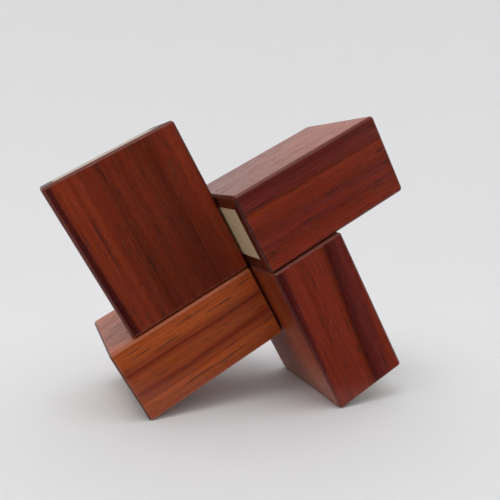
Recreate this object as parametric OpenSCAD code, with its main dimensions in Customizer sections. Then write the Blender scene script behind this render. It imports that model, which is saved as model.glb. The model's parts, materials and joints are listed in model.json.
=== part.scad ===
// Four-arm pinwheel burr puzzle, standing on two of its edges.
//
// Each arm is a sleeve of four mitred boards glued round a pale core. A square key is glued into
// the arm's inner end and stands out of it. Going round the pinwheel, each key slides into a
// socket in the side of the next arm, so the four arms hold each other.
//
// An arm is drawn lying along X: its inner end is at x = 0, its width runs along Y and its
// thickness along Z. "Near" boards lie on the y = 0 and z = 0 sides, "far" boards opposite.

/* [Arms] */
// Length of an arm, along the grain
arm_l = 60; // [56:1:80]
// Width of an arm's broad faces
arm_w = 50; // [44:1:60]
// Thickness of an arm
arm_t = 30; // [26:1:36]
// Thickness of the sleeve boards
board_t = 5; // [4:0.5:6]
// Chamfer along every outer edge
chamfer = 0.9; // [0.6:0.1:2]

/* [Joints] */
// Gap between neighbouring arms
seam = 0.4; // [0.3:0.1:0.8]
// Width of the square keys
key_w = 10; // [8:0.5:11]
// Length of key glued into its own arm
key_in = 14; // [10:1:20]
// Clearance on each side of a key in its socket
key_play = 0.2; // [0.1:0.05:0.3]
// Wood left between a socket's floor and the arm's own key
socket_wall = 1.5; // [1:0.1:2]
// Chamfer round the tip of a key
key_tip = 1; // [0.5:0.1:1.5]

/* [Hidden] */

// The two left arms stand behind the two right arms, with the upper left arm's back flush.
step_back = arm_w - arm_t;
half_seam = seam / 2;

// Sockets lie half an arm's thickness from the inner end, where the next arm's key reaches them.
half_t = arm_t / 2;
socket_d = half_t - key_w / 2 - socket_wall;
key_out = socket_d;
socket_w = key_w + 2 * key_play;

// Place of the key and socket across an arm's width: near the y = 0 side, or near the far side.
near_line = half_t;
far_line = arm_w - half_t;

// Cutters start this far outside the face that they cut.
over = 1;

// The tilt that brings the lower left arm's outer edge level with the lower right arm's.
tilt = atan((arm_l - arm_t) / (arm_l + seam));
full_l = arm_l + half_seam;
rise = sin(tilt);
run = cos(tilt);
low_z = (full_l - chamfer) * rise + (arm_t + half_seam) * run;
right_x = max(
    full_l * run - (half_seam + chamfer) * rise,
    (arm_t + half_seam) * run + (full_l - chamfer) * rise
);
left_x = max(
    (arm_w + half_seam) * run + (full_l - chamfer) * rise,
    full_l * run - (half_seam + chamfer) * rise
);
mid_x = (right_x - left_x) / 2;
mid_y = (step_back + arm_w) / 2;

red_wood = "#8a3218";
brown_wood = "#7c3519";
orange_wood = "#95441f";
dark_wood = "#6e2616";
pale_wood = "#cbb48c";

// ---- Shapes shared by the arms ----

// A rectangle with its four corners cut off.
module chamfered_rectangle(a, b) {
    polygon([
        [chamfer, 0], [a - chamfer, 0], [a, chamfer], [a, b - chamfer],
        [a - chamfer, b], [chamfer, b], [0, b - chamfer], [0, chamfer],
    ]);
}

// Draws a profile given in the Y-Z plane along the whole arm.
module along_arm() {
    rotate([90, 0, 90]) linear_extrude(arm_l) children();
}

// The outside of an arm, with all twelve edges chamfered.
module arm_blank() {
    intersection() {
        along_arm() chamfered_rectangle(arm_w, arm_t);
        translate([0, arm_w, 0]) rotate([90, 0, 0])
            linear_extrude(arm_w) chamfered_rectangle(arm_l, arm_t);
        linear_extrude(arm_t) chamfered_rectangle(arm_l, arm_w);
    }
}

// A broad sleeve board on the z = 0 side, mitred along both edges.
module broad_board() {
    intersection() {
        arm_blank();
        along_arm() polygon([[0, 0], [arm_w, 0], [arm_w - board_t, board_t], [board_t, board_t]]);
    }
}

// A narrow sleeve board on the y = 0 side, mitred along both edges.
module narrow_board() {
    intersection() {
        arm_blank();
        along_arm() polygon([[0, 0], [board_t, board_t], [board_t, arm_t - board_t], [0, arm_t]]);
    }
}

// The board on the opposite side of the arm, a half turn about the arm's long axis away.
module far() {
    translate([0, arm_w, arm_t]) rotate([180, 0, 0]) children();
}

// The space of a socket in the z = 0 face, at a place across the arm's width.
module broad_socket(line) {
    translate([half_t - socket_w / 2, line - socket_w / 2, -over])
        cube([socket_w, socket_w, socket_d + over]);
}

// The space of a socket in the y = 0 face, at the middle of the arm's thickness.
module narrow_socket() {
    translate([half_t - socket_w / 2, -over, half_t - socket_w / 2])
        cube([socket_w, socket_d + over, socket_w]);
}

// The core that fills the sleeve, with the hole that its own key is glued into.
module core(line) {
    difference() {
        translate([0, board_t, board_t]) cube([arm_l, arm_w - 2 * board_t, arm_t - 2 * board_t]);
        translate([-over, line - key_w / 2, half_t - key_w / 2]) cube([key_in + over, key_w, key_w]);
    }
}

// Side view of a key: a bar with the corners of its tip cut off.
module key_profile() {
    polygon([
        [-key_out, key_tip], [-key_out + key_tip, 0], [key_in, 0],
        [key_in, key_w], [-key_out + key_tip, key_w], [-key_out, key_w - key_tip],
    ]);
}

// A square key, standing out of the inner end at a place across the arm's width.
module key(line) {
    translate([0, line - key_w / 2, half_t - key_w / 2]) intersection() {
        linear_extrude(key_w) key_profile();
        translate([0, key_w, 0]) rotate([90, 0, 0]) linear_extrude(key_w) key_profile();
    }
}

// ---- Places of the arms ----

// Tilts the pinwheel on to its two resting edges, with its origin at the bottom centre.
module standing() {
    translate([-mid_x, -mid_y, low_z]) rotate([0, -tilt, 0]) children();
}

// Stands on end behind the step, with its width running to the left.
module upper_left() {
    standing() translate([-half_seam, step_back + arm_t, half_seam]) rotate([90, -90, 0]) children();
}

// Lies to the right.
module upper_right() {
    standing() translate([half_seam, 0, half_seam]) children();
}

// Lies to the left, behind the step, turned over.
module lower_left() {
    standing() translate([-half_seam, step_back, -half_seam]) rotate([0, 180, 0]) children();
}

// Hangs down, with its thickness running to the right.
module lower_right() {
    standing() translate([half_seam, 0, -half_seam]) rotate([0, 90, 0]) children();
}

// ---- Upper left arm ----

module upper_left_front_board() {
    color(brown_wood) upper_left() far() broad_board();
}

module upper_left_back_board() {
    color(brown_wood) upper_left() broad_board();
}

module upper_left_outer_board() {
    color(brown_wood) upper_left() far() narrow_board();
}

module upper_left_inner_board() {
    color(brown_wood) upper_left() difference() {
        narrow_board();
        narrow_socket();
    }
}

module upper_left_core() {
    color(pale_wood) upper_left() difference() {
        core(near_line);
        narrow_socket();
    }
}

module upper_left_key() {
    color(pale_wood) upper_left() key(near_line);
}

// ---- Upper right arm ----

module upper_right_front_board() {
    color(red_wood) upper_right() narrow_board();
}

module upper_right_back_board() {
    color(red_wood) upper_right() far() narrow_board();
}

module upper_right_top_board() {
    color(red_wood) upper_right() far() broad_board();
}

module upper_right_bottom_board() {
    color(red_wood) upper_right() difference() {
        broad_board();
        broad_socket(far_line);
    }
}

module upper_right_core() {
    color(pale_wood) upper_right() difference() {
        core(far_line);
        broad_socket(far_line);
    }
}

module upper_right_key() {
    color(pale_wood) upper_right() key(far_line);
}

// ---- Lower left arm ----

module lower_left_front_board() {
    color(orange_wood) lower_left() narrow_board();
}

module lower_left_back_board() {
    color(orange_wood) lower_left() far() narrow_board();
}

module lower_left_top_board() {
    color(orange_wood) lower_left() difference() {
        broad_board();
        broad_socket(near_line);
    }
}

module lower_left_bottom_board() {
    color(orange_wood) lower_left() far() broad_board();
}

module lower_left_core() {
    color(pale_wood) lower_left() difference() {
        core(near_line);
        broad_socket(near_line);
    }
}

module lower_left_key() {
    color(pale_wood) lower_left() key(near_line);
}

// ---- Lower right arm ----

module lower_right_front_board() {
    color(dark_wood) lower_right() narrow_board();
}

module lower_right_back_board() {
    color(dark_wood) lower_right() far() narrow_board();
}

module lower_right_left_board() {
    color(dark_wood) lower_right() difference() {
        broad_board();
        broad_socket(far_line);
    }
}

module lower_right_right_board() {
    color(dark_wood) lower_right() far() broad_board();
}

module lower_right_core() {
    color(pale_wood) lower_right() difference() {
        core(far_line);
        broad_socket(far_line);
    }
}

module lower_right_key() {
    color(pale_wood) lower_right() key(far_line);
}

upper_left_front_board();
upper_left_back_board();
upper_left_outer_board();
upper_left_inner_board();
upper_left_core();
upper_left_key();
upper_right_front_board();
upper_right_back_board();
upper_right_top_board();
upper_right_bottom_board();
upper_right_core();
upper_right_key();
lower_left_front_board();
lower_left_back_board();
lower_left_top_board();
lower_left_bottom_board();
lower_left_core();
lower_left_key();
lower_right_front_board();
lower_right_back_board();
lower_right_left_board();
lower_right_right_board();
lower_right_core();
lower_right_key();
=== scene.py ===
"""Looks of the four-arm burr puzzle: sleeves of oiled red hardwood round pale maple cores.

Each arm is worked at the world's origin in the arm's own coordinates: its length runs along X from
the inner end, its width along Y and its thickness along Z. It is then laid where the frame has it.
"""
import json
import math

import bpy
from mathutils import Matrix, Vector


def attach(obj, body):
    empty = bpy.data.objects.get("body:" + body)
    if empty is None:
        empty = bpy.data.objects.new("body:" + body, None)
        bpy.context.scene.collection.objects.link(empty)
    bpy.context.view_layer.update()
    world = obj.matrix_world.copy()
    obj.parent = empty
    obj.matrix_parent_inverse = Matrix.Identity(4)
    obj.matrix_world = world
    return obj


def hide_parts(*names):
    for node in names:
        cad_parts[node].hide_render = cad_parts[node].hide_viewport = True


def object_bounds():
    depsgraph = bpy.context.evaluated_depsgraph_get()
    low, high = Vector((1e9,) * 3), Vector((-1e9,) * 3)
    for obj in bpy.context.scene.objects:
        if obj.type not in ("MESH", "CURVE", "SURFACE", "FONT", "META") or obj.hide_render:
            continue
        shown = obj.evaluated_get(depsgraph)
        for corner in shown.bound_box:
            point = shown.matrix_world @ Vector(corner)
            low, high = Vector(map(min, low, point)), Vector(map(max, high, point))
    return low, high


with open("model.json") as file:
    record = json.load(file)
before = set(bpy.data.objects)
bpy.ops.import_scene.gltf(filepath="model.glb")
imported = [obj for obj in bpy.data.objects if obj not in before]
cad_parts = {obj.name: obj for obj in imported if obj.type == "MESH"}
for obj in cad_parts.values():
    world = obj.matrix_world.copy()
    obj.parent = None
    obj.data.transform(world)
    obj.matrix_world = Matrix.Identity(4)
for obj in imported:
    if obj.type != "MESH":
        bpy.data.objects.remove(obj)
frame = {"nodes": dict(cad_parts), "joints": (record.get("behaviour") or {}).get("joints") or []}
cad_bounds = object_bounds()

MM = 0.001

# ---------------------------------------------------------------- sizes from the frame

slide_axis = {joint["name"]: Vector(joint["axis"]) for joint in frame["joints"]}
RIGHT = slide_axis["lower_right_slide"]
UP = slide_axis["upper_left_slide"]
BACK = Vector((0, 1, 0))

# The ways that each arm's length, width and thickness run.
ARM_WAYS = {
    "upper_left": (UP, -RIGHT, -BACK),
    "upper_right": (RIGHT, BACK, UP),
    "lower_left": (-RIGHT, BACK, -UP),
    "lower_right": (-UP, BACK, RIGHT),
}

# Each arm's boards: near and far are the sides where the width or thickness starts and ends.
BOARD_SIDES = {
    "upper_left": {
        "back": "broad_near", "front": "broad_far", "inner": "narrow_near", "outer": "narrow_far",
    },
    "upper_right": {
        "bottom": "broad_near", "top": "broad_far", "front": "narrow_near", "back": "narrow_far",
    },
    "lower_left": {
        "top": "broad_near", "bottom": "broad_far", "front": "narrow_near", "back": "narrow_far",
    },
    "lower_right": {
        "left": "broad_near", "right": "broad_far", "front": "narrow_near", "back": "narrow_far",
    },
}

# The board of each arm that has a socket, and the arm whose key slides into it.
SOCKET_BOARD = {"upper_left": "inner", "upper_right": "bottom", "lower_left": "top", "lower_right": "left"}
KEY_FROM = {
    "upper_left": "upper_right",
    "upper_right": "lower_right",
    "lower_right": "lower_left",
    "lower_left": "upper_left",
}

CHAMFER = 0.9 * MM
EASING = 0.18 * MM       # rounding of the chamfers' own edges by sanding
SOCKET_PLAY = 0.2 * MM
SOCKET_TIP_GAP = 0.4 * MM
MOUTH_BEVEL = 0.35 * MM
KEY_TIP = 1.0 * MM
KEY_EASING = 0.25 * MM
TOUCH = 0.01 * MM        # how near two places are when they count as one

SHARP_EDGE = math.radians(30)      # edges that turn more than this are eased
SMOOTH_EDGE = math.radians(32)     # edges that turn less than this are shaded smooth
SQUARE_ON = 0.9                    # how squarely a face looks along an axis when it counts as facing it


def reach(nodes, way):
    """Lowest and highest place of some CAD nodes along a direction."""
    places = [way.dot(vertex.co) for node in nodes for vertex in frame["nodes"][node].data.vertices]
    return min(places), max(places)


class Arm:
    """One arm's place and sizes, read from the frame."""

    def __init__(self, name):
        self.name = name
        self.body = name + "_arm"
        self.ways = ARM_WAYS[name]
        sleeve = [f"{name}_{side}_board" for side in BOARD_SIDES[name]]
        spans = [reach(sleeve, way) for way in self.ways]
        self.corner = sum((way * span[0] for way, span in zip(self.ways, spans)), Vector())
        self.size = tuple(high - low for low, high in spans)
        self.length, self.width, self.thickness = self.size
        self.core = self.span(name + "_core")
        self.board_thickness = self.core[0].y
        turn = Matrix(self.ways).transposed()
        self.matrix = Matrix.Translation(self.corner) @ turn.to_4x4()

    def span(self, node):
        """A node's lowest and highest corners in this arm's coordinates."""
        spans = [reach([node], way) for way in self.ways]
        start = [way.dot(self.corner) for way in self.ways]
        low = Vector([span[0] - place for span, place in zip(spans, start)])
        high = Vector([span[1] - place for span, place in zip(spans, start)])
        return low, high


arms = {name: Arm(name) for name in ARM_WAYS}

# ---------------------------------------------------------------- bench work


def clear_bench():
    """Leaves edit mode, with no piece selected."""
    if bpy.context.object and bpy.context.object.mode != "OBJECT":
        bpy.ops.object.mode_set(mode="OBJECT")
    bpy.ops.object.select_all(action="DESELECT")


def pick(piece):
    """Makes one piece the only one selected, and active."""
    clear_bench()
    piece.select_set(True)
    bpy.context.view_layer.objects.active = piece


def square_block(name, low, high):
    """A block between two corners, with its size and place in its mesh."""
    clear_bench()
    middle = (Vector(low) + Vector(high)) / 2
    size = Vector(high) - Vector(low)
    bpy.ops.mesh.primitive_cube_add(size=1, location=middle, scale=size)
    block = bpy.context.object
    block.name = name
    bpy.ops.object.transform_apply(location=True, rotation=True, scale=True)
    return block


def copy_of(piece, name):
    """A copy of a piece, with its own mesh."""
    twin = piece.copy()
    twin.data = piece.data.copy()
    twin.name = name
    bpy.context.scene.collection.objects.link(twin)
    return twin


def edit(piece, kind="FACE"):
    """Opens a piece in edit mode with nothing selected."""
    pick(piece)
    bpy.ops.object.mode_set(mode="EDIT")
    bpy.ops.mesh.select_mode(type=kind)
    bpy.ops.mesh.select_all(action="DESELECT")


def select_where(piece, parts, test):
    """Selects the faces, edges or vertices that pass a test, in edit mode."""
    bpy.ops.object.mode_set(mode="OBJECT")
    for part in getattr(piece.data, parts):
        if test(part):
            part.select = True
    bpy.ops.object.mode_set(mode="EDIT")


def saw(piece, planes):
    """Cuts away what lies beyond each plane, given as a point on it and the way that is cut off."""
    edit(piece)
    for point, way in planes:
        bpy.ops.mesh.select_all(action="SELECT")
        bpy.ops.mesh.bisect(plane_co=point, plane_no=way, use_fill=True, clear_outer=True)
    bpy.ops.object.mode_set(mode="OBJECT")


def score(piece, points, way):
    """Marks lines right round a piece, without cutting anything off."""
    edit(piece)
    for point in points:
        bpy.ops.mesh.select_all(action="SELECT")
        bpy.ops.mesh.bisect(plane_co=point, plane_no=way)
    bpy.ops.object.mode_set(mode="OBJECT")


def ease_edges(piece, width):
    """Rounds a piece's sharp edges a little, as sanding does."""
    pick(piece)
    rounding = piece.modifiers.new("easing", "BEVEL")
    rounding.width = width
    rounding.segments = 2
    rounding.limit_method = "ANGLE"
    rounding.angle_limit = SHARP_EDGE
    bpy.ops.object.modifier_apply(modifier=rounding.name)


def smooth_shading(piece):
    """Smooth shading over the eased edges, with the flat faces kept flat."""
    pick(piece)
    bpy.ops.object.shade_smooth_by_angle(angle=SMOOTH_EDGE)
    weighting = piece.modifiers.new("flat_faces", "WEIGHTED_NORMAL")
    weighting.keep_sharp = True
    bpy.ops.object.modifier_apply(modifier=weighting.name)


def lay_in_place(piece, arm, node):
    """Puts a finished piece where the frame has its node, with its place in its mesh."""
    pick(piece)
    piece.matrix_world = arm.matrix
    bpy.ops.object.transform_apply(location=True, rotation=True, scale=True)
    smooth_shading(piece)
    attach(piece, arm.body)
    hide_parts(node)


# ---------------------------------------------------------------- pieces


def arm_blank(arm):
    """A solid block of an arm's size, with its twelve edges chamfered and the chamfers eased."""
    blank = square_block("blank", (0, 0, 0), arm.size)
    edit(blank, "EDGE")
    bpy.ops.mesh.select_all(action="SELECT")
    bpy.ops.mesh.bevel(offset=CHAMFER, segments=1, affect="EDGES")
    bpy.ops.object.mode_set(mode="OBJECT")
    ease_edges(blank, EASING)
    return blank


def board_planes(arm, side):
    """The inner face and the two mitres that cut a sleeve board out of the arm's blank."""
    w, t, b = arm.width, arm.thickness, arm.board_thickness
    return {
        "broad_near": [((0, 0, b), (0, 0, 1)), ((0, 0, 0), (0, -1, 1)), ((0, w, 0), (0, 1, 1))],
        "broad_far": [((0, 0, t - b), (0, 0, -1)), ((0, 0, t), (0, -1, -1)), ((0, w, t), (0, 1, -1))],
        "narrow_near": [((0, b, 0), (0, 1, 0)), ((0, 0, 0), (0, 1, -1)), ((0, 0, t), (0, 1, 1))],
        "narrow_far": [((0, w - b, 0), (0, -1, 0)), ((0, w, 0), (0, -1, -1)), ((0, w, t), (0, -1, 1))],
    }[side]


def socket_place(arm):
    """Lowest and highest corners of the arm's socket, and the axis (1 or 2) that it runs along."""
    low, high = arm.span(KEY_FROM[arm.name] + "_key")
    side = BOARD_SIDES[arm.name][SOCKET_BOARD[arm.name]]
    along = 1 if side.startswith("narrow") else 2
    play = Vector((SOCKET_PLAY, SOCKET_PLAY, SOCKET_PLAY))
    low, high = low - play, high + play
    high[along] += SOCKET_TIP_GAP - SOCKET_PLAY
    low[along] = 0
    return low, high, along


def inside(point, low, high, along):
    """Whether a point lies within a square hole, seen along its axis."""
    return all(low[i] < point[i] < high[i] for i in range(3) if i != along)


def score_square(piece, low, high, along):
    """Marks out a square hole on a piece."""
    for i in range(3):
        if i == along:
            continue
        way = Vector((0, 0, 0))
        way[i] = 1
        score(piece, [way * low[i], way * high[i]], way)


def bevel_mouth(piece, low, high, along, level):
    """A small bevel round the mouth of a square hole, at one level of its axis."""
    sideways = [i for i in range(3) if i != along]

    def on_mouth(edge):
        ends = [piece.data.vertices[v].co for v in edge.vertices]
        middle = (ends[0] + ends[1]) / 2
        at_level = all(abs(end[along] - level) < TOUCH for end in ends)
        within = all(low[i] - TOUCH < end[i] < high[i] + TOUCH for end in ends for i in sideways)
        on_side = any(min(abs(middle[i] - low[i]), abs(middle[i] - high[i])) < TOUCH for i in sideways)
        return at_level and within and on_side

    edit(piece, "EDGE")
    select_where(piece, "edges", on_mouth)
    bpy.ops.mesh.bevel(offset=MOUTH_BEVEL, segments=2, affect="EDGES")
    bpy.ops.object.mode_set(mode="OBJECT")


def pierce(piece, low, high, along):
    """A square hole right through a board."""
    def in_hole(face):
        return inside(face.center, low, high, along) and abs(face.normal[along]) > SQUARE_ON

    score_square(piece, low, high, along)
    edit(piece)
    select_where(piece, "polygons", in_hole)
    bpy.ops.mesh.bridge_edge_loops()
    bpy.ops.object.mode_set(mode="OBJECT")


def sink(piece, low, high, along, level, depth):
    """A square hole part of the way into a piece, from the face at a level of one axis."""
    def in_hole(face):
        return inside(face.center, low, high, along) and abs(face.center[along] - level) < TOUCH

    score_square(piece, low, high, along)
    edit(piece)
    select_where(piece, "polygons", in_hole)
    move = Vector((0, 0, 0))
    move[along] = depth
    bpy.ops.mesh.extrude_region_move(TRANSFORM_OT_translate={"value": move})
    bpy.ops.object.mode_set(mode="OBJECT")


def sleeve_board(arm, blank, side_name):
    """A board of the sleeve, sawn from the arm's blank with mitred edges."""
    node = f"{arm.name}_{side_name}_board"
    board = copy_of(blank, "red_" + node)
    saw(board, board_planes(arm, BOARD_SIDES[arm.name][side_name]))
    if SOCKET_BOARD[arm.name] == side_name:
        low, high, along = socket_place(arm)
        pierce(board, low, high, along)
        bevel_mouth(board, low, high, along, 0)
    lay_in_place(board, arm, node)
    return board


def maple_core(arm):
    """The core that fills the sleeve, with the holes for its own key and for the next arm's."""
    core = square_block("pale_" + arm.name + "_core", *arm.core)
    low, high, along = socket_place(arm)
    sink(core, low, high, along, arm.board_thickness, high[along] - arm.board_thickness)
    key_low, key_high = arm.span(arm.name + "_key")
    sink(core, key_low, key_high, 0, 0, key_high.x)
    lay_in_place(core, arm, arm.name + "_core")
    return core


def square_key(arm):
    """The key that stands out of the arm's inner end, with its tip chamfered and its edges eased."""
    low, high = arm.span(arm.name + "_key")
    key = square_block("pale_" + arm.name + "_key", low, high)

    def at_tip(edge):
        return all(key.data.vertices[v].co.x < low.x + TOUCH for v in edge.vertices)

    edit(key, "EDGE")
    select_where(key, "edges", at_tip)
    bpy.ops.mesh.bevel(offset=KEY_TIP, segments=1, affect="EDGES")
    bpy.ops.object.mode_set(mode="OBJECT")
    ease_edges(key, KEY_EASING)
    lay_in_place(key, arm, arm.name + "_key")
    return key


boards = {}
cores = {}
keys = {}
for arm in arms.values():
    blank = arm_blank(arm)
    for side_name in BOARD_SIDES[arm.name]:
        boards[arm.name, side_name] = sleeve_board(arm, blank, side_name)
    bpy.data.objects.remove(blank)
    cores[arm.name] = maple_core(arm)
    keys[arm.name] = square_key(arm)

# ---------------------------------------------------------------- finishes

SCREEN_GAMMA = 2.2


def linear(red, green, blue, gain=1.0):
    """A colour given as on a screen, from 0 to 255, in the linear units of the shaders."""
    return tuple(gain * (v / 255) ** SCREEN_GAMMA for v in (red, green, blue)) + (1,)


def red_tone(tone):
    """A tone of the red hardwood, lifted by one gain because its tones are given as they look in shade."""
    return linear(*tone, gain=1.5)


def millimetres(corner):
    """A place or a size in metres, turned into millimetres."""
    return tuple(v / MM for v in corner)


# Tones of the red hardwood under its oil, from heartwood streaks to fresh orange.
WOOD_TONES = {
    "coal": (63, 19, 16),
    "plum": (75, 26, 22),
    "umber": (77, 27, 10),
    "brown": (84, 30, 11),
    "wine": (88, 32, 26),
    "rust": (94, 33, 14),
    "red": (102, 35, 20),
    "ember": (105, 38, 15),
    "copper": (112, 46, 21),
    "amber": (121, 54, 22),
    "orange": (136, 62, 24),
    "honey": (150, 74, 40),
}
PORE_TONE = (34, 9, 5)
FLECK_TONE = (176, 112, 84)
END_GRAIN_TONE = (46, 17, 10)
# The light colour of the glint painted along the chamfers' borders.
PAINTED_GLINT_TONE = (150, 84, 60)
# The pale colour of a painted sheen: the floor's reflection laid on the wood.
PAINTED_SHEEN_TONE = (150, 116, 104)

# Across each board's face in millimetres, from its near edge: where each tone lies.
FIGURES = {
    ("upper_left", "front"): [
        (0, "rust"), (4, "ember"), (6, "rust"), (8, "rust"), (11, "brown"), (13, "umber"),
        (15, "brown"), (18, "brown"), (21, "rust"), (24, "brown"), (27, "rust"), (29.8, "brown"),
        (31, "umber"), (31.8, "brown"), (34, "rust"), (37.4, "rust"), (38.4, "ember"), (40.2, "ember"),
        (40.8, "rust"), (42, "ember"), (43.5, "ember"), (45.6, "ember"), (46.6, "rust"),
        (47.2, "coal"), (50, "coal"),
    ],
    ("upper_right", "front"): [
        (0, "red"), (4, "red"), (6, "rust"), (9, "wine"), (11, "red"), (12.5, "wine"), (16, "rust"),
        (19, "red"), (21.6, "ember"), (22.4, "brown"), (23.2, "wine"), (26, "wine"), (28, "plum"),
        (30, "wine"),
    ],
    # This top board is given brighter tones than the arm's other boards, painted to stand for the sheen of
    # the light from above.
    ("upper_right", "top"): [
        (0, "copper"), (6, "amber"), (12, "copper"), (17, "amber"), (24, "copper"), (30, "amber"),
        (36, "copper"), (42, "ember"), (50, "copper"),
    ],
    ("lower_left", "front"): [
        (0, "amber"), (2.5, "orange"), (6.5, "orange"), (8, "amber"), (9.6, "copper"), (10.4, "rust"),
        (11.2, "copper"), (13, "amber"), (16, "amber"), (17.8, "copper"), (18.6, "rust"), (20, "copper"),
        (21, "amber"), (22, "copper"), (23.5, "orange"), (27.5, "amber"), (30, "copper"),
    ],
    ("lower_left", "top"): [
        (0, "orange"), (5, "honey"), (9, "orange"), (13, "honey"), (20, "orange"), (28, "honey"),
        (36, "orange"), (50, "honey"),
    ],
    ("lower_right", "front"): [
        (0, "coal"), (2.5, "coal"), (4.2, "plum"), (5.2, "red"), (9, "red"), (10.5, "rust"), (12, "red"),
        (15, "red"), (18, "red"), (20.2, "rust"), (21.2, "umber"), (22.2, "coal"), (24, "plum"),
        (27, "wine"), (29.5, "wine"), (30.5, "red"), (32, "red"),
    ],
    ("lower_right", "left"): [
        (0, "ember"), (6, "copper"), (13, "amber"), (20, "ember"), (32, "brown"), (40, "rust"),
        (50, "brown"),
    ],
}
# The plain figure of each arm's other boards, from one edge to the other.
PLAIN_FIGURES = {
    "upper_left": ["ember", "rust", "brown", "rust", "umber", "rust", "ember"],
    "upper_right": ["wine", "rust", "brown", "red", "wine", "plum", "rust"],
    "lower_left": ["amber", "copper", "amber", "ember", "copper", "orange", "amber"],
    "lower_right": ["rust", "red", "wine", "ember", "plum", "rust", "red"],
}
# How far a board's figure drifts across for each millimetre along it.
LEAN = {("lower_right", "front"): 0.075, ("upper_right", "front"): 0.012}
# How light a board is at its arm's inner end and at its outer end: partly the wood's own tone, and partly
# painted shade near the inner end, where the arms meet, and a painted sheen towards the outer end.
LENGTHWISE_TONE_AND_SHADE = {
    ("upper_left", "front"): (0.87, 1.1),
    ("upper_right", "top"): (1.0, 1.3),
    ("lower_right", "left"): (0.85, 1.3),
}
# How strong a pale painted sheen gets on a board towards its arm's outer end, standing in for the floor's
# reflection.
PAINTED_SHEEN = {("lower_right", "left"): 0.6, ("upper_right", "front"): 0.03}
# The tones painted on each arm's chamfers for light and shade, lighter where a chamfer faces the light and
# darker
# where it faces away: along its sides, and round its ends.
CHAMFER_PAINTED_TONES = {
    "upper_left": ((64, 21, 16), (100, 45, 32)),
    "upper_right": ((70, 24, 19), (56, 20, 16)),
    "lower_left": ((150, 82, 52), (64, 28, 20)),
    "lower_right": ((66, 24, 20), (110, 58, 46)),
}
# How much rougher than the rest a board is left. Such a board is less glossy too.
DULLNESS = {("lower_right", "left"): 0.28}
# Long pores that stand out: start and end along the face, and level across it, in millimetres.
LONG_PORES = {
    ("upper_left", "front"): [
        (25, 44, 41.2), (36, 42, 45.8), (2, 10, 45), (28, 32, 23.4), (36, 39, 23), (17, 23, 31),
        (43, 48, 8.2),
    ],
    ("upper_right", "front"): [(1, 14, 22.9), (30, 36, 14), (18, 23, 9.5)],
    ("upper_right", "top"): [
        (5, 10, 24), (19, 26, 27.5), (25, 36, 15), (46, 50, 11), (2, 7, 17), (32, 38, 34),
    ],
    ("lower_left", "front"): [
        (49, 55, 3.3), (47, 54, 5.6), (21, 35, 3.8), (12, 23, 5.8), (35, 46, 7.6), (0, 8, 3.4),
        (30, 42, 25), (16, 29, 25.3), (44, 50, 16),
    ],
    ("lower_left", "top"): [(52, 57, 8), (49, 54, 13), (53, 58, 19), (50, 56, 27), (52, 55, 35)],
    ("lower_right", "front"): [(50, 56, 24), (8, 13, 12), (30, 34, 17), (44, 47, 9)],
}

# How rough the oiled surface is, and how strongly its gloss refracts on most boards and on duller ones.
OILED_ROUGHNESS = 0.27
OILED_REFRACTION = 1.45
DULL_REFRACTION = 1.32

# Streaks of the fine grain: how far along and across the wood each kind runs, in millimetres.
GRAIN_STREAKS = {"Broad": (90.0, 2.6), "Fine": (34.0, 0.75), "Hair": (9.0, 0.17)}
# How much each kind lightens and darkens the red hardwood.
STREAK_CONTRAST = {"Broad": 0.52, "Fine": 0.78, "Hair": 1.04}

# Kinds of open pore. Each lies in a cell with a length and a width in millimetres. Amount is the share of
# cells that have one, and size is how much of its cell it fills.
LONG_KIND = {"Length": 9.0, "Width": 0.65, "Amount": 0.9, "Size": 0.28}
SMALL_KIND = {"Length": 4.0, "Width": 0.5, "Amount": 0.72, "Size": 0.28}
PALE_KIND = {"Length": 4.5, "Width": 0.6, "Amount": 0.1, "Size": 0.15}

# Sanded maple: its darker and lighter tones along the grain and on its ends, and the darker tone of a band
# round the core where it meets the sleeve.
MAPLE_TONES = ((198, 174, 140), (214, 192, 160))
MAPLE_END_TONES = ((182, 158, 126), (206, 183, 150))
CORE_RIM_TONE = (150, 118, 72)
CORE_RIM_WIDTH = 0.5         # in millimetres
MAPLE_ROUGHNESS = 0.4


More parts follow.
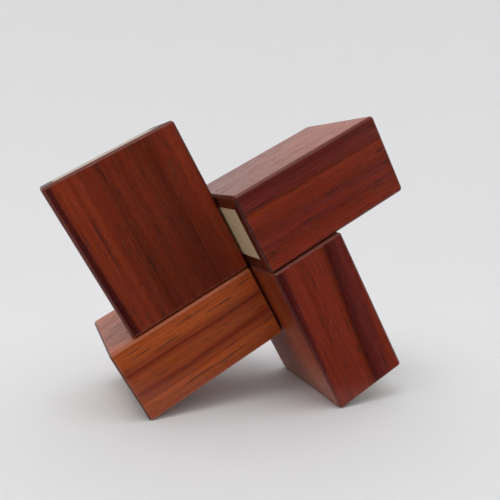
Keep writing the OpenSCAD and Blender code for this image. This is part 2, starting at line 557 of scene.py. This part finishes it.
class Tree:
    """Adds nodes to a material or a group, and joins them."""

    def __init__(self, tree):
        self.tree = tree

    def feed(self, socket, value):
        """Joins another node's output to a socket, or sets the socket to a plain value."""
        if isinstance(value, bpy.types.NodeSocket):
            self.tree.links.new(value, socket)
        else:
            socket.default_value = value

    def add(self, kind, inputs=(), **settings):
        """A new node, with its inputs fed by name or by number."""
        node = self.tree.nodes.new(kind)
        for name, value in settings.items():
            setattr(node, name, value)
        for name, value in dict(inputs).items():
            self.feed(node.inputs[name], value)
        return node

    def use(self, group, inputs):
        """The outputs of a shader group, placed with its own values."""
        return self.add("ShaderNodeGroup", inputs, node_tree=group).outputs

    def math(self, operation, *values, clamp=False):
        """One, two or three values put through an operation."""
        node = self.add("ShaderNodeMath", dict(enumerate(values)), operation=operation, use_clamp=clamp)
        return node.outputs[0]

    def swing(self, noise, amount, middle):
        """A middle value that noise pushes up and down by up to half an amount."""
        return self.math("MULTIPLY_ADD", self.math("SUBTRACT", noise, 0.5), amount, middle)

    def vector(self, operation, first, second):
        """Two vectors put through an operation."""
        node = self.add("ShaderNodeVectorMath", {0: first, 1: second}, operation=operation)
        return node.outputs["Value" if operation == "DOT_PRODUCT" else "Vector"]

    def split(self, vector):
        """A vector's three values."""
        return self.add("ShaderNodeSeparateXYZ", {0: vector}).outputs

    def join(self, x, y, z):
        """A vector made of three values."""
        return self.add("ShaderNodeCombineXYZ", {0: x, 1: y, 2: z}).outputs[0]

    def ramp(self, value, start, end, low=0.0, high=1.0):
        """A smooth step from low to high as the value goes from start to end."""
        node = self.add("ShaderNodeMapRange", {
            "Value": value, "From Min": start, "From Max": end, "To Min": low, "To Max": high,
        }, interpolation_type="SMOOTHSTEP")
        return node.outputs["Result"]

    def noise(self, place, size, detail, roughness):
        """Noise with clouds of a size along each axis."""
        stretched = self.vector("DIVIDE", place, size)
        node = self.add("ShaderNodeTexNoise", {
            "Vector": stretched, "Scale": 1.0, "Detail": detail, "Roughness": roughness,
        })
        return node.outputs["Fac"]

    def mix(self, amount, first, second, blend="MIX"):
        """Goes from the first colour to the second by an amount."""
        node = self.add("ShaderNodeMix", {"Factor": amount}, data_type="RGBA", blend_type=blend)
        colour_sockets = [socket for socket in node.inputs if socket.type == "RGBA"]
        for socket, colour in zip(colour_sockets, (first, second)):
            self.feed(socket, colour)
        return next(socket for socket in node.outputs if socket.type == "RGBA")

    def tint(self, colour, mask, strength, tone):
        """A colour taken towards a tone where a mask is, by no more than a strength."""
        return self.mix(self.math("MULTIPLY", mask, strength), colour, tone)

    def shade(self, colour, light):
        """A colour made darker or lighter, as the light is under or over one."""
        return self.mix(1.0, colour, self.join(light, light, light), "MULTIPLY")


def shader_group(name, inputs, outputs):
    """An empty group with named inputs and outputs, its tree, and the sockets inside it."""
    group = bpy.data.node_groups.new(name, "ShaderNodeTree")
    for label, kind, start in inputs:
        socket = group.interface.new_socket(name=label, in_out="INPUT", socket_type="NodeSocket" + kind)
        socket.default_value = start
    for label in outputs:
        group.interface.new_socket(name=label, in_out="OUTPUT", socket_type="NodeSocketFloat")
    tree = Tree(group)
    return group, tree, tree.add("NodeGroupInput").outputs, tree.add("NodeGroupOutput").inputs


def pores_group():
    """Open pores: short dashes along the grain, and dots on end grain. Vector is in millimetres."""
    group, tree, inputs, outputs = shader_group(
        "open_pores",
        [("Vector", "Vector", (0, 0, 0)), ("Length", "Float", 8.0), ("Width", "Float", 0.5),
         ("Amount", "Float", 0.6), ("Size", "Float", 0.25)],
        ["Mask"],
    )
    cell_size = tree.join(inputs["Length"], inputs["Width"], inputs["Width"])
    place = tree.vector("DIVIDE", inputs["Vector"], cell_size)
    cells = tree.add("ShaderNodeTexVoronoi", {"Vector": place, "Scale": 1.0, "Randomness": 1.0}, feature="F1")
    deep_part = tree.math("MULTIPLY", inputs["Size"], 0.45)
    pore = tree.ramp(cells.outputs["Distance"], deep_part, inputs["Size"], 1.0, 0.0)
    lot = tree.split(cells.outputs["Color"])[0]
    has_pore = tree.math("LESS_THAN", lot, inputs["Amount"])
    tree.feed(outputs["Mask"], tree.math("MULTIPLY", pore, has_pore))
    return group


def grain_group():
    """Fine grain: streaks at three widths that run along the wood. Vector is in millimetres."""
    group, tree, inputs, outputs = shader_group(
        "fine_grain", [("Vector", "Vector", (0, 0, 0))], list(GRAIN_STREAKS),
    )
    for kind, (length, width) in GRAIN_STREAKS.items():
        streaks = tree.noise(inputs["Vector"], (length, width, width), detail=4.0, roughness=0.65)
        tree.feed(outputs[kind], streaks)
    return group


def edge_group():
    """The chamfers round a block, and the thin lines along their borders where a glint is painted, all in
    millimetres.

    A place is on a chamfer where it is close to two of the block's faces at once, so what counts is the
    middle one of its distances from the nearest faces along the three axes.
    """
    group, tree, inputs, outputs = shader_group(
        "block_edges",
        [("Vector", "Vector", (0, 0, 0)), ("Size", "Vector", (60, 50, 30)), ("Width", "Float", 1.2)],
        ["Chamfer", "Border"],
    )
    from_far_faces = tree.vector("SUBTRACT", inputs["Size"], inputs["Vector"])
    x, y, z = tree.split(tree.vector("MINIMUM", inputs["Vector"], from_far_faces))
    least = tree.math("MINIMUM", tree.math("MINIMUM", x, y), z)
    most = tree.math("MAXIMUM", tree.math("MAXIMUM", x, y), z)
    total = tree.math("ADD", tree.math("ADD", x, y), z)
    middle_one = tree.math("SUBTRACT", tree.math("SUBTRACT", total, least), most)
    beyond = tree.math("SUBTRACT", middle_one, inputs["Width"])
    tree.feed(outputs["Chamfer"], tree.ramp(beyond, -0.1, 0.3, 1.0, 0.0))
    tree.feed(outputs["Border"], tree.ramp(tree.math("ABSOLUTE", beyond), 0.05, 0.3, 1.0, 0.0))
    return group


def dash_group():
    """One long open pore at a set place on a face. Everything is in millimetres."""
    group, tree, inputs, outputs = shader_group(
        "pore_dash",
        [("Along", "Float", 0.0), ("Across", "Float", 0.0), ("Start", "Float", 0.0), ("End", "Float", 5.0),
         ("Level", "Float", 0.0), ("Width", "Float", 0.2), ("Ripple", "Float", 0.5)],
        ["Mask"],
    )
    fade = 1.2           # how far the pore's ends fade, either way
    after = tree.ramp(tree.math("SUBTRACT", inputs["Along"], inputs["Start"]), -fade, fade)
    before = tree.ramp(tree.math("SUBTRACT", inputs["End"], inputs["Along"]), -fade, fade)
    rippled = tree.swing(inputs["Ripple"], 1.6, inputs["Across"])
    off = tree.math("ABSOLUTE", tree.math("SUBTRACT", rippled, inputs["Level"]))
    near = tree.ramp(tree.math("DIVIDE", off, inputs["Width"]), 0.5, 1.3, 1.0, 0.0)
    tree.feed(outputs["Mask"], tree.math("MULTIPLY", near, tree.math("MULTIPLY", after, before)))
    return group


def end_grain_group():
    """How squarely a face cuts across the grain."""
    group, tree, inputs, outputs = shader_group("end_grain", [("Grain Way", "Vector", (1, 0, 0))], ["Mask"])
    normal = tree.add("ShaderNodeTexCoord").outputs["Normal"]
    across = tree.math("ABSOLUTE", tree.vector("DOT_PRODUCT", normal, inputs["Grain Way"]))
    tree.feed(outputs["Mask"], tree.ramp(across, 0.35, 0.95))
    return group


PORES = pores_group()
GRAIN = grain_group()
EDGES = edge_group()
DASH = dash_group()
END_GRAIN = end_grain_group()


def new_material(name):
    """An empty material with its shader joined to its output."""
    material = bpy.data.materials.new(name)
    material.use_nodes = True
    material.node_tree.nodes.clear()
    tree = Tree(material.node_tree)
    output = tree.add("ShaderNodeOutputMaterial")
    shader = tree.add("ShaderNodeBsdfPrincipled")
    tree.feed(output.inputs["Surface"], shader.outputs["BSDF"])
    return material, tree, shader


def finish_surface(tree, shader, colour, roughness, height, strength, depth):
    """Joins a wood's colour, roughness and relief to its shader."""
    bump = tree.add("ShaderNodeBump", {"Height": height, "Strength": strength, "Distance": depth})
    tree.feed(shader.inputs["Base Color"], colour)
    tree.feed(shader.inputs["Roughness"], roughness)
    tree.feed(shader.inputs["Normal"], bump.outputs["Normal"])


def arm_millimetres(tree, arm):
    """A point's place in an arm's own coordinates, in millimetres."""
    turn = Matrix(arm.ways)
    start = -(turn @ arm.corner) / MM
    mapping = tree.add("ShaderNodeMapping", {
        "Vector": tree.add("ShaderNodeTexCoord").outputs["Object"],
        "Location": start, "Rotation": turn.to_euler("XYZ"), "Scale": (1 / MM, 1 / MM, 1 / MM),
    }, vector_type="POINT")
    return mapping.outputs["Vector"]


class BoardFace:
    """A point's place on a board: along and across its face, and how deep under it, in millimetres."""

    PLANK_STEP = 37.0        # how far apart the boards are cut from the plank, so that no two are alike

    def __init__(self, tree, arm, side_name, number):
        side = BOARD_SIDES[arm.name][side_name]
        broad = side.startswith("broad")
        self.which = (arm.name, side_name)
        self.length = arm.length / MM
        self.width = (arm.width if broad else arm.thickness) / MM
        self.place = arm_millimetres(tree, arm)
        self.along, y, z = tree.split(self.place)
        self.across, depth = (y, z) if broad else (z, y)
        if side.endswith("far"):
            depth = tree.math("SUBTRACT", (arm.thickness if broad else arm.width) / MM, depth)
        self.depth = depth
        shift = self.PLANK_STEP * (number + 1)
        self.in_plank = tree.join(
            tree.math("ADD", self.along, shift), tree.math("ADD", self.across, shift), self.depth,
        )


def board_figure(face, number):
    """Where a board's tones lie. A board with none of its own starts its arm's plain ones at another tone."""
    if face.which in FIGURES:
        return FIGURES[face.which]
    arm_name = face.which[0]
    tones = PLAIN_FIGURES[arm_name]
    first = number % 3
    tones = tones[first:] + tones[:first]
    return [(face.width * i / (len(tones) - 1), tone) for i, tone in enumerate(tones)]


def figure_ramp(tree, place, face_width, figure):
    """The board's broad figure: tones laid across its face."""
    node = tree.add("ShaderNodeValToRGB", {"Fac": tree.math("DIVIDE", place, face_width)})
    node.color_ramp.interpolation = "LINEAR"
    stops = node.color_ramp.elements
    stops.remove(stops[1])
    for index, (where, tone_name) in enumerate(figure):
        position = min(where / face_width, 1.0)
        stop = stops[0] if index == 0 else stops.new(position)
        stop.position = position
        stop.color = red_tone(WOOD_TONES[tone_name])
    return node.outputs["Color"]


def figured_colour(tree, face, figure):
    """The board's figure as it runs along: it wanders, leans and dives, with painted light and shade along it
    and a painted sheen towards its outer end.
    """
    slow = tree.noise(face.in_plank, (38.0, 14.0, 14.0), detail=2.0, roughness=0.5)
    wandering = tree.swing(slow, 2.6, face.across)
    leaning = tree.math("MULTIPLY_ADD", face.along, LEAN.get(face.which, 0.0), wandering)
    diving = tree.math("MULTIPLY_ADD", face.depth, 0.35, leaning)
    colour = figure_ramp(tree, diving, face.width, figure)
    # Painted light along the board: darker near the arm's inner end, where the arms shade each other, lighter
    # towards its outer end.
    inner_painted_light, outer_painted_light = LENGTHWISE_TONE_AND_SHADE.get(face.which, (1.0, 1.0))
    even_end = 8.0
    light = tree.ramp(face.along, even_end, face.length - even_end, inner_painted_light, outer_painted_light)
    # A painted sheen: the floor's reflection laid on as a pale colour towards the outer end.
    sheen_start = 32.0
    painted_sheen = tree.ramp(face.along, sheen_start, face.length, 0.0, PAINTED_SHEEN.get(face.which, 0.0))
    return tree.mix(painted_sheen, tree.shade(colour, light), red_tone(PAINTED_SHEEN_TONE))


def board_pores(tree, face, grain):
    """Long pores in patches, small ones all over, and the few that stand out."""
    long_pores = tree.use(PORES, {"Vector": face.in_plank, **LONG_KIND})["Mask"]
    small_pores = tree.use(PORES, {"Vector": face.in_plank, **SMALL_KIND})["Mask"]
    clouds = tree.noise(face.in_plank, (30.0, 3.5, 3.5), detail=1.0, roughness=0.5)
    in_patches = tree.math("MULTIPLY", long_pores, tree.ramp(clouds, 0.42, 0.6))
    pores = tree.math("MAXIMUM", in_patches, tree.math("MULTIPLY", small_pores, 0.85))
    for start, end, level in LONG_PORES.get(face.which, []):
        dash = tree.use(DASH, {
            "Along": face.along, "Across": face.across, "Start": start, "End": end, "Level": level,
            "Ripple": grain["Broad"],
        })["Mask"]
        broken = tree.ramp(grain["Hair"], 0.3, 0.5)
        pores = tree.math("MAXIMUM", pores, tree.math("MULTIPLY", dash, broken))
    return pores


def edged_colour(tree, arm, colour, end, edges, grain):
    """The colour with its end grain darkened, painted light and shade on its chamfers, and a painted glint
    along their borders.
    """
    colour = tree.tint(colour, end, 0.72, red_tone(END_GRAIN_TONE))
    side_painted_tone, end_painted_tone = CHAMFER_PAINTED_TONES[arm.name]
    painted_chamfer_tone = tree.mix(tree.ramp(end, 0.1, 0.6), red_tone(side_painted_tone), red_tone(end_painted_tone))
    # Painted light and shade on the chamfers.
    colour = tree.tint(colour, edges["Chamfer"], 0.65, painted_chamfer_tone)
    # A painted glint: a thin light line along the chamfers' borders.
    painted_glint = tree.math("MULTIPLY", edges["Border"], tree.ramp(grain["Broad"], 0.45, 0.65, 0.02, 0.3))
    return tree.mix(painted_glint, colour, red_tone(PAINTED_GLINT_TONE))


def red_hardwood(arm, side_name, number):
    """Oiled red hardwood with a board's own figure: streaks, open pores, and eased edges with painted light,
    shade and glints.
    """
    material, tree, shader = new_material(f"red_hardwood_{arm.name}_{side_name}")
    face = BoardFace(tree, arm, side_name, number)
    grain = tree.use(GRAIN, {"Vector": face.in_plank})
    pores = board_pores(tree, face, grain)
    end = tree.use(END_GRAIN, {"Grain Way": arm.ways[0]})["Mask"]
    edges = tree.use(EDGES, {"Vector": face.place, "Width": CHAMFER / MM, "Size": millimetres(arm.size)})

    colour = figured_colour(tree, face, board_figure(face, number))
    for kind, contrast in STREAK_CONTRAST.items():
        colour = tree.shade(colour, tree.swing(grain[kind], contrast, 1.0))
    colour = tree.tint(colour, pores, 0.8, red_tone(PORE_TONE))
    elsewhere = tree.vector("ADD", face.in_plank, (11.0, 23.0, 5.0))
    flecks = tree.use(PORES, {"Vector": elsewhere, **PALE_KIND})["Mask"]
    colour = tree.tint(colour, flecks, 0.35, red_tone(FLECK_TONE))
    colour = edged_colour(tree, arm, colour, end, edges, grain)

    rough = tree.swing(grain["Fine"], 0.35, OILED_ROUGHNESS + DULLNESS.get(face.which, 0.0))
    for mask, rougher in ((pores, 0.45), (end, 0.12), (edges["Chamfer"], 0.12)):
        rough = tree.math("MULTIPLY_ADD", mask, rougher, rough, clamp=True)
    streaks = tree.math("MULTIPLY_ADD", grain["Hair"], 0.35, tree.math("MULTIPLY", grain["Fine"], 0.5))
    height = tree.math("SUBTRACT", streaks, pores)
    finish_surface(tree, shader, colour, rough, height, strength=0.5, depth=0.06 * MM)
    shader.inputs["IOR"].default_value = DULL_REFRACTION if face.which in DULLNESS else OILED_REFRACTION
    return material


def pale_maple(arm, part):
    """Sanded maple: close even grain, speckled on its ends, and darker in a band where the core meets the
    sleeve.
    """
    material, tree, shader = new_material(f"pale_maple_{arm.name}_{part}")
    place = arm_millimetres(tree, arm)
    grain = tree.use(GRAIN, {"Vector": place})
    end = tree.use(END_GRAIN, {"Grain Way": arm.ways[0]})["Mask"]
    speckle = tree.noise(place, (1.2, 0.42, 0.42), detail=3.0, roughness=0.7)
    dark, light = (linear(*tone) for tone in MAPLE_TONES)
    dark_end, light_end = (linear(*tone) for tone in MAPLE_END_TONES)
    streaked = tree.mix(tree.ramp(grain["Fine"], 0.3, 0.7), dark, light)
    speckled = tree.mix(tree.ramp(speckle, 0.3, 0.7), dark_end, light_end)
    colour = tree.mix(end, streaked, speckled)
    if part == "core":
        low, high = arm.core
        in_core = tree.vector("SUBTRACT", place, millimetres(low))
        size = millimetres(high - low)
        # A darker olive band round the core, where it meets the sleeve.
        core_rim = tree.use(EDGES, {"Vector": in_core, "Size": size, "Width": CORE_RIM_WIDTH})["Chamfer"]
        colour = tree.tint(colour, core_rim, 0.35, linear(*CORE_RIM_TONE))
    rough = tree.swing(grain["Fine"], 0.2, MAPLE_ROUGHNESS)
    rough = tree.math("MULTIPLY_ADD", end, -0.04, rough, clamp=True)
    height = tree.math("MULTIPLY_ADD", grain["Hair"], 0.5, tree.math("MULTIPLY", speckle, 0.5))
    finish_surface(tree, shader, colour, rough, height, strength=0.25, depth=0.03 * MM)
    return material


def finish_pieces():
    """Gives every board, core and key its own wood."""
    for number, ((arm_name, side_name), board) in enumerate(boards.items()):
        board.data.materials.append(red_hardwood(arms[arm_name], side_name, number))
    for arm_name, arm in arms.items():
        cores[arm_name].data.materials.append(pale_maple(arm, "core"))
        keys[arm_name].data.materials.append(pale_maple(arm, "key"))


finish_pieces()

# ---------------------------------------------------------------- stage, lights and camera

middle = (Vector(cad_bounds[0]) + Vector(cad_bounds[1])) / 2

FLOOR_RADIUS = 0.28
SWEEP_RADIUS = 0.95
SWEEP_STEPS = 20
FRONT_CUT = 0.05         # how far in front of the world's origin the bowl's front part begins


def white_paper():
    """Matt white paper, the same all over."""
    material = bpy.data.materials.new("white_paper")
    material.use_nodes = True
    shader = material.node_tree.nodes["Principled BSDF"]
    shader.inputs["Base Color"].default_value = (0.795, 0.79, 0.79, 1)
    shader.inputs["Roughness"].default_value = 0.9
    return material


def paper_bowl():
    """A pale floor that sweeps up in a wide curve all round, like a lining of white paper."""
    clear_bench()
    bpy.ops.mesh.primitive_circle_add(vertices=128, radius=FLOOR_RADIUS, fill_type="NGON")
    bowl = bpy.context.object
    bowl.name = "paper_bowl"
    edit(bowl, "EDGE")
    bpy.ops.mesh.select_all(action="SELECT")
    radius = FLOOR_RADIUS
    turns = [math.radians(90) * step / SWEEP_STEPS for step in range(SWEEP_STEPS + 1)]
    for before, turn in zip(turns, turns[1:]):
        rise = SWEEP_RADIUS * (math.cos(before) - math.cos(turn))
        wider = FLOOR_RADIUS + SWEEP_RADIUS * math.sin(turn)
        bpy.ops.mesh.extrude_edges_move(TRANSFORM_OT_translate={"value": (0, 0, rise)})
        bpy.ops.transform.resize(value=(wider / radius, wider / radius, 1), center_override=(0, 0, 0))
        radius = wider
    bpy.ops.object.mode_set(mode="OBJECT")
    bpy.ops.object.shade_smooth_by_angle(angle=SMOOTH_EDGE)
    bowl.data.materials.append(white_paper())

    # The part in front of the puzzle gives no glare on the wood that faces it.
    front_part = copy_of(bowl, "paper_bowl_front")
    for part, way in ((bowl, (0, -1, 0)), (front_part, (0, 1, 0))):
        edit(part)
        bpy.ops.mesh.select_all(action="SELECT")
        bpy.ops.mesh.bisect(plane_co=(0, -FRONT_CUT, 0), plane_no=way, clear_outer=True)
        bpy.ops.object.mode_set(mode="OBJECT")
    front_part.visible_glossy = False


def overhead_softbox():
    """A square soft lamp high over the puzzle, turned to face it."""
    from_middle = Vector((-0.24, -0.2, 1.02))
    lamp = bpy.data.lights.new("overhead_softbox", "AREA")
    lamp.shape = "SQUARE"
    lamp.size = 0.6
    lamp.energy = 3.0
    holder = bpy.data.objects.new("overhead_softbox", lamp)
    bpy.context.scene.collection.objects.link(holder)
    holder.location = middle + from_middle
    holder.rotation_euler = (-from_middle).to_track_quat("-Z", "Y").to_euler()
    holder.visible_camera = False


def soft_daylight():
    """Even light from all round, which isn't mirrored in the wood's gloss."""
    world = bpy.data.worlds.new("soft_daylight")
    world.use_nodes = True
    background = world.node_tree.nodes["Background"]
    background.inputs["Color"].default_value = (0.97, 0.98, 1.0, 1)
    background.inputs["Strength"].default_value = 0.92
    world.cycles_visibility.glossy = False
    bpy.context.scene.world = world


def camera():
    """A hand-held view from the front left, a little above the puzzle's middle."""
    place = middle + Vector((-66.1, -207.4, 36.2)) * MM
    heading = math.radians(21.3)
    dip = math.radians(8.27)
    roll = math.radians(-1.67)
    lens = bpy.data.cameras.new("camera")
    lens.angle = math.radians(48.2)
    lens.clip_start = 0.01
    holder = bpy.data.objects.new("camera", lens)
    bpy.context.scene.collection.objects.link(holder)
    aim = Matrix.Rotation(-heading, 4, "Z") @ Matrix.Rotation(math.radians(90) - dip, 4, "X")
    holder.matrix_world = Matrix.Translation(place) @ aim @ Matrix.Rotation(roll, 4, "Z")
    bpy.context.scene.camera = holder


paper_bowl()
soft_daylight()
overhead_softbox()
camera()
bpy.context.scene.view_settings.view_transform = "Standard"
